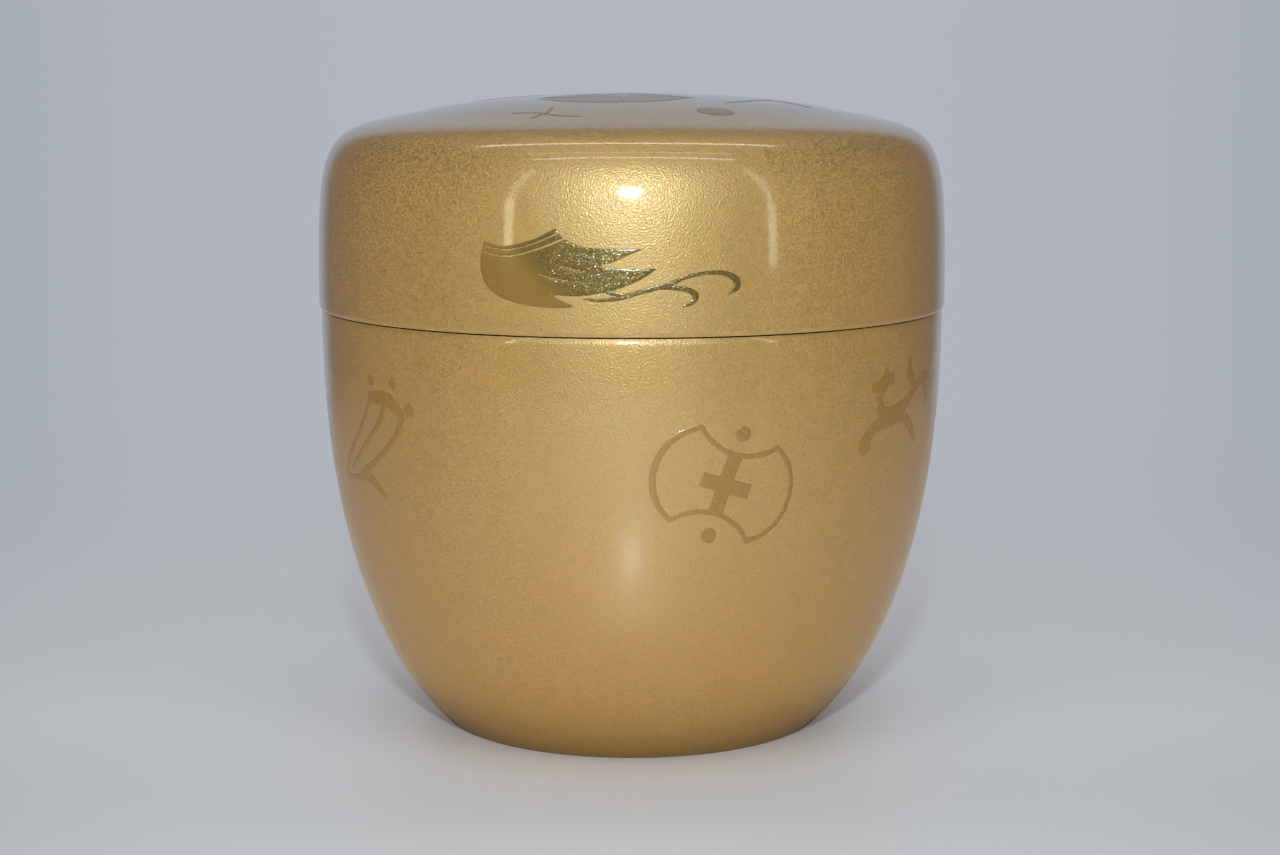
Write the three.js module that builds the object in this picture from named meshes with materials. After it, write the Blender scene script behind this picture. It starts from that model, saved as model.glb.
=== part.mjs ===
// A tea caddy of the rounded form that is named after the jujube fruit: a turned wooden body and a lift-off
// lid, both gold-lacquered outside and black-lacquered inside. The lid slides over a collar that stands in the
// body's mouth and rests on the ledge round it, so lid and body meet flush and read as one curve.
// Millimetres, +Z up. The origin is the middle of the ring that the caddy stands on.

import * as THREE from 'three';

// Outer form: the lid's side is the widest place, and the body narrows from the joint to the foot
const lidRadius = 33;
const lidHeight = 22.2;
const seamHeight = 44;
const seamStep = 0.25;
const footRadius = 20;
const crownRadius = 22;
const crownRise = 1.75;

// Edges at the joint: each side draws in a little where it meets the other
const bodyArris = 0.7;
const lidArris = 0.5;
const arrisDepth = 0.15;

// Foot: the caddy stands on a flat ring round a shallow recess
const footRingWidth = 2.4;
const footRecess = 0.9;

// Walls of the two turned pieces, and the coats of black lacquer inside them
const lidWall = 1.3;
const crownWall = 1.9;
const floorWall = 2.6;
const wellFloorRadius = 14;
const lacquerCoat = 0.4;

// Collar: how thick it is, how far it stands above the joint and is let into the body, and its running gap
const collarWall = 1.4;
const collarRise = 8;
const collarSeat = 7;
const collarClearance = 0.3;
const collarHeadroom = 1.5;

// Handles of the three bent outlines, as shares of the way across and of the way up from start to end
const bodyBendShares = [[0.75, 0.205], [1, 0.606]];
const lidBendShares = [[0, 0.952], [0.067, 0.895]];
const wellBendShares = [[0.86, 0], [1, 0.34]];
const crownPower = 2.6;

// Fineness of the turned surfaces
const turnSegments = 60;
const longBendSteps = 12;
const shortBendSteps = 8;
const crownSteps = 4;
const roundSteps = 3;
const samePoint = 1e-6;

// Sizes that follow from the ones above
const bodyRimRadius = lidRadius - seamStep;
const lidBoreRadius = lidRadius - lidWall;
const collarOuterRadius = lidBoreRadius - lacquerCoat - collarClearance;
const collarInnerRadius = collarOuterRadius - collarWall;
const collarFootHeight = seamHeight - collarSeat;
const wellRadius = collarInnerRadius + lacquerCoat;
const wellFloorHeight = footRecess + floorWall;
const footRecessRadius = footRadius - footRingWidth;
const skirtHeight = collarRise + collarHeadroom;

// Materials
const goldLacquer = new THREE.MeshStandardMaterial({ color: 0xb5945c, roughness: 0.32, metalness: 0.9 });
const blackLacquer = new THREE.MeshStandardMaterial({ color: 0x100d0c, roughness: 0.12, metalness: 0 });

const at = (radius, height) => new THREE.Vector2(radius, height);

// A smooth bend from one point to another, drawn towards two handles
function bend(start, end, handleShares, steps) {
  const [first, second] = handleShares.map(([across, up]) => at(
    THREE.MathUtils.lerp(start.x, end.x, across),
    THREE.MathUtils.lerp(start.y, end.y, up),
  ));
  return new THREE.CubicBezierCurve(start, first, second, end).getPoints(steps);
}

// A quarter round about a centre, from one angle to another
function quarterRound(centre, radius, fromAngle, toAngle) {
  const points = [];
  for (let step = 0; step <= roundSteps; step += 1) {
    const angle = THREE.MathUtils.lerp(fromAngle, toAngle, step / roundSteps);
    points.push(at(centre.x + radius * Math.cos(angle), centre.y + radius * Math.sin(angle)));
  }
  return points;
}

// The edge of a side at the joint, from the side to the joint: it draws in more and more
function arris(radius, jointHeight, reach) {
  const points = [];
  for (let step = 0; step <= roundSteps; step += 1) {
    const share = step / roundSteps;
    points.push(at(radius - arrisDepth * share * share, jointHeight - reach * (1 - share)));
  }
  return points;
}

// A low crown: nearly flat in the middle and falling faster towards its edge
function crown(edgeRadius, topHeight) {
  const points = [];
  for (let step = 0; step <= crownSteps; step += 1) {
    const share = 1 - step / crownSteps;
    points.push(at(edgeRadius * share, topHeight - crownRise * share ** crownPower));
  }
  return points;
}

// One outline from several runs of points, without the points that two runs share
function outline(...runs) {
  return runs.flat().filter((point, index, all) => index === 0 || point.distanceTo(all[index - 1]) > samePoint);
}

// The solid that an outline sweeps as it turns about the upright axis
function turned(name, points, material) {
  const geometry = new THREE.LatheGeometry(points, turnSegments);
  geometry.rotateX(Math.PI / 2);
  const mesh = new THREE.Mesh(geometry, material);
  mesh.name = name;
  return mesh;
}

// The wall of the body's well, from the axis up to the collar's foot, drawn inwards by a coat's thickness
function wellWall(coat) {
  const floor = at(wellFloorRadius, wellFloorHeight + coat);
  const brim = at(wellRadius - coat, collarFootHeight);
  return [at(0, floor.y), ...bend(floor, brim, wellBendShares, shortBendSteps)];
}

// The wall of the lid's hollow, from its rim up to the axis, drawn inwards by a coat's thickness
function lidHollow(coat) {
  const skirtFoot = at(lidBoreRadius - coat, 0);
  const skirtTop = at(lidBoreRadius - coat, skirtHeight);
  const top = lidHeight - crownWall - coat;
  const crownEdge = at(crownRadius - lidWall - coat, top - crownRise);
  return outline(
    [skirtFoot],
    bend(skirtTop, crownEdge, lidBendShares, shortBendSteps),
    crown(crownEdge.x, top),
  );
}

// The turned body: foot ring, outside, ledge for the lid, seat for the collar, and the well
function bodyShell() {
  const foot = at(footRadius, 0);
  const rimFoot = at(bodyRimRadius, seamHeight - bodyArris);
  return turned('body_shell', outline(
    [at(0, footRecess), at(footRecessRadius, footRecess), at(footRecessRadius, 0), foot],
    bend(foot, rimFoot, bodyBendShares, longBendSteps),
    arris(bodyRimRadius, seamHeight, bodyArris),
    [at(collarOuterRadius, seamHeight), at(collarOuterRadius, collarFootHeight)],
    wellWall(0).reverse(),
  ), goldLacquer);
}

// Black lacquer over the whole well, up to the collar's foot
function bodyLining() {
  return turned('body_lining', outline(wellWall(0), wellWall(lacquerCoat).reverse()), blackLacquer);
}

// The collar: seated in the body's mouth, standing above the ledge, with a fully rounded lip
function rimCollar() {
  const lipRadius = collarWall / 2;
  const lipCentre = at(collarInnerRadius + lipRadius, seamHeight + collarRise - lipRadius);
  const foot = at(collarInnerRadius, collarFootHeight);
  return turned('rim_collar', outline(
    [foot, at(collarOuterRadius, collarFootHeight)],
    quarterRound(lipCentre, lipRadius, 0, Math.PI / 2),
    quarterRound(lipCentre, lipRadius, Math.PI / 2, Math.PI),
    [foot],
  ), blackLacquer);
}

// Black lacquer in the recess under the foot
function footLacquer() {
  const face = footRecess - lacquerCoat;
  return turned('foot_lacquer', [
    at(0, face),
    at(footRecessRadius, face),
    at(footRecessRadius, footRecess),
    at(0, footRecess),
  ], blackLacquer);
}

// The turned lid: hollow, rim, drawn-in lower edge, side, shoulder and crown
function lidShell() {
  const sideFoot = at(lidRadius, lidArris);
  const shoulder = at(crownRadius, lidHeight - crownRise);
  return turned('lid_shell', outline(
    lidHollow(0).reverse(),
    arris(lidRadius, 0, -lidArris).reverse(),
    bend(sideFoot, shoulder, lidBendShares, longBendSteps),
    crown(crownRadius, lidHeight),
  ), goldLacquer);
}

// Black lacquer over the lid's hollow, down to its rim
function lidLining() {
  return turned('lid_lining', outline(lidHollow(lacquerCoat).reverse(), lidHollow(0)), blackLacquer);
}

const body = new THREE.Group();
body.add(bodyShell(), bodyLining(), rimCollar(), footLacquer());

const lid = new THREE.Group();
lid.position.z = seamHeight;
lid.add(lidShell(), lidLining());

const caddy = new THREE.Group();
caddy.add(body, lid);

export default caddy;
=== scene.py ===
"""A natsume, the small lacquered tea caddy, dressed and set out on a pale studio floor.

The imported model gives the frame: where the joint between lid and body is, how wide each piece is and what
moves with what. This script turns the same outlines again with fine surfaces, lays the low gold relief on
them, gives every surface its lacquer, and adds the floor, the lamps and the camera.
"""

from __future__ import annotations

import functools
import logging
import math
from dataclasses import dataclass
from enum import Enum
from typing import Any, Callable, Sequence

import bpy
import numpy as np
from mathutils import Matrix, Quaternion, Vector

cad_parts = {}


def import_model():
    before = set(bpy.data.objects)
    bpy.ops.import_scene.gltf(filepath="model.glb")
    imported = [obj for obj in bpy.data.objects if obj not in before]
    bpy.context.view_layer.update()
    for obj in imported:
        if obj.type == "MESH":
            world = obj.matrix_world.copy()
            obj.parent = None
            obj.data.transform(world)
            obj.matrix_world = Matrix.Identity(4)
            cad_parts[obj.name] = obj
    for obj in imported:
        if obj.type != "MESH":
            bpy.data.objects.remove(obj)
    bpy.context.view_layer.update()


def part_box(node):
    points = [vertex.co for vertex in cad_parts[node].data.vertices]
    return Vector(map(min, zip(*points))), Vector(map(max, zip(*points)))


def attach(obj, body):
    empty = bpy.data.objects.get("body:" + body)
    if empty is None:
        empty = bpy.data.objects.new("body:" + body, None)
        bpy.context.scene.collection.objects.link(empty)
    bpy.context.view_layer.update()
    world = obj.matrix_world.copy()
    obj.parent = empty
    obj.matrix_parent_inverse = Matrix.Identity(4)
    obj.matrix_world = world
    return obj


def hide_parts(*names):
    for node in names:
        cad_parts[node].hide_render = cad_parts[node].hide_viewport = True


log = logging.getLogger("tea_caddy")

MM = 0.001

# Lengths that count as nothing: a radius on the axis, a step between two points, a stretch of a drawn line
ON_AXIS = 1e-9
SAME_POINT = 1e-4 * MM
NO_STRETCH = 1e-12

Colour = tuple[float, float, float]
Position = tuple[float, float, float]
Point = tuple[float, float]
Span = tuple[float, float]
Number = float | int


class Body(Enum):
    """The two bodies of the frame that pieces ride on."""

    CADDY = "body"
    LID = "lid"


class Slot(Enum):
    """The record's material slots."""

    GOLD = "gold_lacquered_wood"
    BLACK_WOOD = "black_lacquered_wood"
    BLACK = "black_lacquer"


# Shader graphs


class Wire:
    """A number on its way between two nodes, written in expressions as a number is."""

    def __init__(self, graph: "Graph", socket: bpy.types.NodeSocket) -> None:
        """Keeps the socket and the graph it is in."""
        self.graph = graph
        self.socket = socket

    def _math(self, operation: str, first: "Wire | Number", second: "Wire | Number") -> "Wire":
        """Adds a Math node for two values.

        Args:
            operation: the Math node's operation.
            first: its first value.
            second: its second value.

        Returns:
            The node's result.
        """
        return self.graph.value("ShaderNodeMath", {"operation": operation}, {0: first, 1: second})

    def __add__(self, other: "Wire | Number") -> "Wire":
        """Sum."""
        return self._math("ADD", self, other)

    __radd__ = __add__

    def __sub__(self, other: "Wire | Number") -> "Wire":
        """Difference."""
        return self._math("SUBTRACT", self, other)

    def __rsub__(self, other: "Wire | Number") -> "Wire":
        """Difference, the other way round."""
        return self._math("SUBTRACT", other, self)

    def __mul__(self, other: "Wire | Number") -> "Wire":
        """Product."""
        return self._math("MULTIPLY", self, other)

    __rmul__ = __mul__

    def __pow__(self, other: "Wire | Number") -> "Wire":
        """Power."""
        return self._math("POWER", self, other)

    def __lt__(self, other: "Wire | Number") -> "Wire":
        """1 where this is less, else 0."""
        return self._math("LESS_THAN", self, other)


class Graph:
    """A material's or the world's node tree, built from the outputs back to the shader."""

    def __init__(self, tree: bpy.types.NodeTree) -> None:
        """Empties the tree."""
        self.tree = tree
        tree.nodes.clear()

    def node(self, kind: str, settings: dict[str, Any] | None = None,
             inputs: dict[str | int, Any] | None = None) -> bpy.types.Node:
        """Adds one node of any type.

        Args:
            kind: the node's type.
            settings: its properties, set first.
            inputs: a value or a link for each socket, by name or number.

        Returns:
            The node.
        """
        made = self.tree.nodes.new(kind)
        for name, value in (settings or {}).items():
            setattr(made, name, value)
        for key, value in (inputs or {}).items():
            self._feed(made.inputs[key], value)
        return made

    def value(self, kind: str, settings: dict[str, Any] | None = None,
              inputs: dict[str | int, Any] | None = None, output: str | int = 0) -> Wire:
        """Adds one node and gives one of its outputs.

        Args:
            kind: the node's type.
            settings: its properties.
            inputs: a value or a link for each socket.
            output: which output to give.

        Returns:
            The output as a wire.
        """
        return Wire(self, self.node(kind, settings, inputs).outputs[output])

    def place(self, space: str = "Object") -> Wire:
        """The place of a point, or its direction in the world's own space."""
        return self.value("ShaderNodeTexCoord", output=space)

    def split(self, vector: Wire) -> list[Wire]:
        """The three parts of a vector."""
        return [Wire(self, part) for part in self.node("ShaderNodeSeparateXYZ", None, {0: vector}).outputs]

    def camera_ray(self) -> Wire:
        """1 where the camera looks at the surface itself, else 0."""
        return self.value("ShaderNodeLightPath", output="Is Camera Ray")

    def from_below(self) -> Wire:
        """1 where the face is met from its rear side, else 0."""
        return self.value("ShaderNodeNewGeometry", output="Backfacing")

    def bump(self, height: Wire, lift: float) -> Wire:
        """The normal of a surface that rises with height, by lift at most."""
        return self.value("ShaderNodeBump", None, {"Height": height, "Distance": lift, "Strength": 1.0})

    def mix_shader(self, share: Wire, first: Wire, second: Wire) -> Wire:
        """Mixes two shaders, as mix_colour does two colours."""
        return self.value("ShaderNodeMixShader", None, {0: share, 1: first, 2: second})

    def finish(self, surface: Wire, kind: str = "Material") -> None:
        """Gives the shader to the material or the world."""
        self.node(f"ShaderNodeOutput{kind}", None, {"Surface": surface})

    def mix_colour(self, share: Wire | Number, first: Wire | Colour, second: Wire | Colour) -> Wire:
        """Mixes two colours.

        Args:
            share: how much of the second colour there is.
            first: the colour at a share of 0.
            second: the colour at a share of 1.

        Returns:
            The mixed colour.
        """
        return self.value("ShaderNodeMix", {"data_type": "RGBA"}, {0: share, 6: first, 7: second}, 2)

    def rise(self, value: Wire, low: float, high: float) -> Wire:
        """Climbs smoothly from 0 to 1.

        Args:
            value: what it follows.
            low: where it leaves 0.
            high: where it reaches 1.

        Returns:
            A number from 0 to 1.
        """
        return self.value("ShaderNodeMapRange", {"interpolation_type": "SMOOTHSTEP"},
                          {"Value": value, "From Min": low, "From Max": high})

    def noise(self, where: Wire, grain: float, detail: float = 2.0) -> Wire:
        """Adds a noise whose lumps are about one grain across.

        Args:
            where: the place it is read at.
            grain: the size of a lump, in metres.
            detail: how many finer layers it has.

        Returns:
            The noise, about 0.5 on average.
        """
        return self.value("ShaderNodeTexNoise", None, {"Vector": where, "Scale": 1 / grain, "Detail": detail})

    def _feed(self, socket: bpy.types.NodeSocket, value: Any) -> None:
        """Links a wire to a socket, or sets the socket's own value.

        Args:
            socket: the input socket.
            value: a wire, a number, a vector or a colour of three numbers.
        """
        if isinstance(value, Wire):
            self.tree.links.new(value.socket, socket)
        elif socket.type == "RGBA" and len(value) == 3:
            socket.default_value = (*value, 1.0)
        else:
            socket.default_value = value


def new_material(name: str) -> tuple[bpy.types.Material, Graph]:
    """Makes an empty material.

    Args:
        name: the material's name.

    Returns:
        The material and its graph.
    """
    material = bpy.data.materials.new(name)
    material.use_nodes = True
    return material, Graph(material.node_tree)


# Finishes


@dataclass(frozen=True)
class JointFaces:
    """The faces of the joint, where the black lacquer inside comes out nearly to the edge."""

    height: float
    radius: float
    reach: float = 0.3 * MM
    black: Colour = (0.006, 0.005, 0.004)
    roughness: float = 0.2

    def cover(self, graph: Graph, where: Wire, gold: Wire) -> Wire:
        """Lays black lacquer on the joint's faces.

        Args:
            graph: the gold's graph.
            where: the place on the piece.
            gold: the gold's shader.

        Returns:
            The shader of both.
        """
        x, y, z = graph.split(where)
        within = x * x + y * y < self.radius ** 2
        level = (z - self.height) * (z - self.height) < self.reach ** 2
        black = graph.value("ShaderNodeBsdfPrincipled", None, {
            "Base Color": self.black,
            "Roughness": self.roughness,
        })
        return graph.mix_shader(within * level, gold, black)


@dataclass(frozen=True)
class BurnishAndPaintedLight:
    """Where a relief goes over from plain powder to burnished flakes, from lower left to upper right, with
    painted light: the plain lower left is kept lighter, as a side strip's reflection, and the upper right is
    painted darker, as shade.

    Attributes:
        start: the sum of x and z where it is still plain.
        end: the sum of x and z where it is burnished throughout.
        deep: the darker gold between the burnished flakes, which paints the upper right darker as shade.
        plain_share: how much of the flakes' brightness the plain part keeps.
    """

    start: float = 39.5 * MM
    end: float = 43.5 * MM
    deep: Colour = (0.085, 0.046, 0.011)
    plain_share: float = 0.22

    def share(self, graph: Graph, where: Wire) -> Wire:
        """How far the gold is burnished and painted darker.

        Args:
            graph: the gold's graph.
            where: the place on the piece.

        Returns:
            0 where it is plain, 1 where it is burnished.
        """
        x, _, z = graph.split(where)
        return graph.rise(x + z, self.start, self.end)


@dataclass(frozen=True)
class GoldLacquer:
    """Gold powder under a polished clear lacquer, either the ground or the relief laid on it.

    Attributes:
        name: the material's name.
        light: the brightest flakes.
        deep: the gold between them.
        flake: how wide a flake is.
        flake_lift: how far the powder rises and falls.
        rarity: how few of the flakes are bright.
        cloud: how wide the slow changes of tone are.
        cloud_share: how much of the tone they make up.
        dull_metal: how metallic the dullest flakes are.
        bright_metal: how metallic the brightest flakes are.
        roughness: the powder's roughness.
        roughness_swing: how far it goes up and down from flake to flake.
        powder_index: the powder's index where it isn't metallic.
        clear_roughness: the clear coat's roughness.
        clear_index: its index.
        clear_weight: how much of it there is.
        burnish: where the gold is burnished and painted lighter and darker by position, if anywhere.
        joint: the joint's faces, if the piece has them.
    """

    name: str = "gold_ground"
    light: Colour = (0.56, 0.394, 0.146)
    deep: Colour = (0.636, 0.322, 0.050)
    flake: float = 0.15 * MM
    flake_lift: float = 0.036 * MM
    rarity: float = 1.0
    cloud: float = 9.0 * MM
    cloud_share: float = 0.25
    dull_metal: float = 0.065
    bright_metal: float = 0.89
    roughness: float = 0.46
    roughness_swing: float = 0.10
    powder_index: float = 1.97
    clear_roughness: float = 0.085
    clear_index: float = 1.5
    clear_weight: float = 1.0
    burnish: BurnishAndPaintedLight | None = None
    joint: JointFaces | None = None

    def material(self) -> bpy.types.Material:
        """Builds the finish: the powder's colour, roughness and tilt vary grain by grain below a smooth coat.

        Returns:
            The material.
        """
        material, graph = new_material(self.name)
        where = graph.place()
        cells = {"Vector": where, "Scale": 1 / self.flake}
        flakes = graph.value("ShaderNodeTexVoronoi", None, cells, "Color")
        tint = graph.node("ShaderNodeSeparateColor", None, {0: flakes})
        bright, dull = Wire(graph, tint.outputs[0]), Wire(graph, tint.outputs[1])
        bright = bright ** self.rarity
        deep: Wire | Colour = self.deep
        if self.burnish is not None:
            # Burnished flakes with painted light and shade: the deep gold goes darker from lower left to
            # upper right
            burnt_and_shaded = self.burnish.share(graph, where)
            bright = bright * (burnt_and_shaded * (1 - self.burnish.plain_share) + self.burnish.plain_share)
            deep = graph.mix_colour(burnt_and_shaded, self.deep, self.burnish.deep)
        share = bright * (1 - self.cloud_share) + graph.noise(where, self.cloud) * self.cloud_share
        surface = graph.value("ShaderNodeBsdfPrincipled", None, {
            "Base Color": graph.mix_colour(share, deep, self.light),
            "Metallic": self.dull_metal + bright * (self.bright_metal - self.dull_metal),
            "IOR": self.powder_index,
            "Roughness": self.roughness + (dull - 0.5) * self.roughness_swing,
            "Coat Weight": self.clear_weight,
            "Coat Roughness": self.clear_roughness,
            "Coat IOR": self.clear_index,
            "Normal": graph.bump(graph.noise(where, self.flake, 0.0), self.flake_lift),
        })
        if self.joint is not None:
            surface = self.joint.cover(graph, where, surface)
        graph.finish(surface)
        return material


@dataclass(frozen=True)
class BlackLacquer:
    """Polished black lacquer, with the faint brown of the sap and the slow waves of a brushed coat."""

    name: str = "black_lacquer"
    black: Colour = (0.0060, 0.0048, 0.0042)
    brown: Colour = (0.0120, 0.0080, 0.0060)
    cloud: float = 7.0 * MM
    wave: float = 3.5 * MM
    wave_lift: float = 0.010 * MM
    roughness: float = 0.09
    speck: float = 0.35 * MM
    speck_swing: float = 0.05
    index: float = 1.52

    def material(self) -> bpy.types.Material:
        """Builds the finish.

        Returns:
            The material.
        """
        material, graph = new_material(self.name)
        where = graph.place()
        graph.finish(graph.value("ShaderNodeBsdfPrincipled", None, {
            "Base Color": graph.mix_colour(graph.noise(where, self.cloud), self.black, self.brown),
            "Roughness": self.roughness + (graph.noise(where, self.speck) - 0.5) * self.speck_swing,
            "IOR": self.index,
            "Normal": graph.bump(graph.noise(where, self.wave, 1.0), self.wave_lift),
        }))
        return material


@dataclass(frozen=True)
class StudioFloor:
    """A pale semi-gloss sheet that fades into the surroundings far from the caddy.

    A span says over which distances from the caddy's axis, in metres, one thing goes over into the next.

    Attributes:
        name: the material's name.
        before: what the camera sees in front of the caddy, with painted shade: darker than beyond.
        beyond: what the camera sees behind the caddy, with painted light: paler than before.
        at_foot: what the camera sees close to the foot: a painted contact shadow, a little darker and warmed
            as the gold's painted bounce light.
        under: what the caddy sees right below its side: painted shade where its overhang hides the floor.
        paper_at_foot: what the caddy sees close to the foot: warmer, as the gold's painted bounce light.
        paper: what the caddy sees farther out.
        roughness: how blurred the sheet's own gloss is.
        gloss_index: how strong that gloss is.
        beyond_span: where before goes over into beyond, along the line of sight.
        at_foot_span: where at_foot goes over into before and beyond.
        paper_span: where paper_at_foot goes over into paper.
        under_span: where under goes over into the other two.
        fade_span: where the sheet ends for the camera.
        sheet_span: where it ends for the caddy.
        hole_span: where it begins, under the foot, which covers the hole.
    """

    name: str = "studio_floor"
    before: Colour = (0.80, 0.79, 0.79)
    beyond: Colour = (0.96, 0.955, 0.965)
    at_foot: Colour = (0.81, 0.71, 0.60)
    under: Colour = (0.42, 0.34, 0.25)
    paper_at_foot: Colour = (0.95, 0.80, 0.59)
    paper: Colour = (0.905, 0.77, 0.67)
    roughness: float = 0.40
    gloss_index: float = 1.5
    beyond_span: Span = (-0.04, 0.0)
    at_foot_span: Span = (0.017, 0.033)
    paper_span: Span = (0.022, 0.06)
    under_span: Span = (0.019, 0.031)
    fade_span: Span = (-0.08, 0.25)
    sheet_span: Span = (0.14, 0.30)
    hole_span: Span = (0.0188, 0.0194)

    def material(self) -> bpy.types.Material:
        """Builds the finish: the camera sees a plainer and wider sheet than the caddy does.

        It is clear from below and has a hole where the foot covers it, so the underside can be looked at.

        Returns:
            The material.
        """
        material, graph = new_material(self.name)
        where = graph.place()
        far = graph.value("ShaderNodeVectorMath", {"operation": "LENGTH"}, {0: where}, "Value")
        back = graph.split(where)[1]
        camera = graph.camera_ray()
        # Painted light and shade for the camera: darker in front of the caddy, paler behind it
        seen = graph.mix_colour(graph.rise(back, *self.beyond_span), self.before, self.beyond)
        # Painted contact shadow round the foot, warmed as the gold's painted bounce light
        seen = graph.mix_colour(graph.rise(far, *self.at_foot_span), self.at_foot, seen)
        # Painted warm bounce light from the gold close to the foot, for what the caddy sees
        paper = graph.mix_colour(graph.rise(far, *self.paper_span), self.paper_at_foot, self.paper)
        # Painted shade right below the caddy's side, where its overhang hides the floor
        paper = graph.mix_colour(graph.rise(far, *self.under_span), self.under, paper)
        sheet = graph.value("ShaderNodeBsdfPrincipled", None, {
            "Base Color": graph.mix_colour(camera, paper, seen),
            "Roughness": self.roughness,
            "IOR": self.gloss_index,
        })
        wide, short = graph.rise(far, *self.fade_span), graph.rise(far, *self.sheet_span)
        ended = camera * wide + (1 - camera) * short
        there = (1 - graph.from_below()) * (1 - ended) * graph.rise(far, *self.hole_span)
        graph.finish(graph.mix_shader(1 - there, sheet, graph.value("ShaderNodeBsdfTransparent")))
        return material


@dataclass(frozen=True)
class FloorGlint:
    """A glowing oval that stands in for the camera lamp's soft image in the glossy floor, a painted
    reflection, which only the caddy's gloss mirrors.

    Attributes:
        name: the name of the stage piece and of its material.
        centre: its middle, just over the floor.
        half_width: how far to the side its glow falls to one half.
        half_length: how far to the front and back it does.
        skirt: how far its rim is, in half widths and half lengths.
        corners: how many corners the rim has.
        colour: its colour.
        radiance: how bright its middle is.
    """

    name: str = "floor_glint"
    centre: Position = (0.0, -64.7 * MM, 0.4 * MM)
    half_width: float = 2.7 * MM
    half_length: float = 6.4 * MM
    skirt: float = 3.2
    corners: int = 32
    colour: Colour = (0.90, 0.95, 1.0)
    radiance: float = 4.0

    def material(self) -> bpy.types.Material:
        """Builds the finish: a glow that falls off from the middle and that the camera doesn't see.

        Returns:
            The material.
        """
        material, graph = new_material(self.name)
        where = graph.place()
        x, y, _ = graph.split(where)
        across, along = x * (1 / self.half_width), y * (1 / self.half_length)
        # A falloff to one half at the half width
        glow = (1 + (across * across + along * along) * (math.sqrt(2) - 1)) ** -2.0
        lit = graph.value("ShaderNodeEmission", None, {"Color": self.colour, "Strength": self.radiance})
        share = glow * (1 - graph.camera_ray()) * (1 - graph.from_below())
        graph.finish(graph.mix_shader(share, graph.value("ShaderNodeBsdfTransparent"), lit))
        # Only rays that the caddy's gloss mirrors meet it, so it isn't sampled as a lamp
        material.cycles.emission_sampling = "NONE"
        return material

    def build(self) -> bpy.types.Object:
        """Lays the glint just over the floor, as a small oval.

        Returns:
            The oval.
        """
        reach = (self.skirt * self.half_width, self.skirt * self.half_length)
        glint = flat_oval(self.name, *reach, self.corners)
        glint.location = self.centre
        glint.visible_diffuse = False
        glint.data.materials.append(self.material())
        return glint


# Turned forms


def as_points(*pairs: Point) -> np.ndarray:
    """Rows of radius and height."""
    return np.array(pairs, float)


def bend(start: Point, end: Point, handle_shares: Sequence[Point], steps: int) -> np.ndarray:
    """A smooth bend from one point to another, drawn towards two handles.

    Args:
        start: radius and height where it starts.
        end: radius and height where it ends.
        handle_shares: each handle as a share of the way across and of the way up.
        steps: how many steps it has.

    Returns:
        Rows of radius and height.
    """
    first, last = np.array(start), np.array(end)
    handles = [first + (last - first) * np.array(share) for share in handle_shares]
    t = np.linspace(0, 1, steps + 1)[:, None]
    return ((1 - t) ** 3 * first + 3 * (1 - t) ** 2 * t * handles[0]
            + 3 * (1 - t) * t ** 2 * handles[1] + t ** 3 * last)


def eased(before: Point, corner: Point, after: Point, size: float, steps: int = 5) -> np.ndarray:
    """A corner with its edge taken off.

    Args:
        before: the point that the outline comes from.
        corner: the corner.
        after: the point that the outline goes on to.
        size: how far from the corner the easing starts.
        steps: how many steps it has.

    Returns:
        Rows of radius and height.
    """
    tip = np.array(corner)
    ends = []
    for other in (before, after):
        way = np.array(other) - tip
        ends.append(tip + way / np.linalg.norm(way) * size)
    t = np.linspace(0, 1, steps + 1)[:, None]
    return (1 - t) ** 2 * ends[0] + 2 * (1 - t) * t * tip + t ** 2 * ends[1]


def crown(edge_radius: float, top: float, rise: float, power: float, steps: int) -> np.ndarray:
    """A low crown, nearly flat in the middle, from its edge to the axis.

    Args:
        edge_radius: where it starts.
        top: its height on the axis.
        rise: how far it rises from its edge.
        power: how flat the middle is.
        steps: how many steps it has.

    Returns:
        Rows of radius and height.
    """
    share = np.linspace(1, 0, steps + 1)
    return np.stack([edge_radius * share, top - rise * share ** power], 1)


def arris(radius: float, height: float, reach: float, depth: float, steps: int = 10) -> np.ndarray:
    """The slightly drawn-in edge where a side meets the joint, from the side to the joint.

    Args:
        radius: the side's radius.
        height: the joint's height.
        reach: how far from the joint the edge starts, negative for a side above the joint.
        depth: how far the edge draws in.
        steps: how many steps it has.

    Returns:
        Rows of radius and height.
    """
    share = np.linspace(0, 1, steps + 1)
    return np.stack([radius - depth * share ** 2, height - reach * (1 - share)], 1)


def joined(*runs: np.ndarray) -> np.ndarray:
    """One outline from several runs of points, without the points that two runs share.

    Args:
        runs: the runs, in order.

    Returns:
        Rows of radius and height.
    """
    points = np.concatenate(runs)
    step = np.linalg.norm(np.diff(points, axis=0), axis=1)
    return points[np.concatenate([[True], step > SAME_POINT])]


TURN_STEPS = 256
SHARP_ANGLE = math.radians(38)


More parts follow.
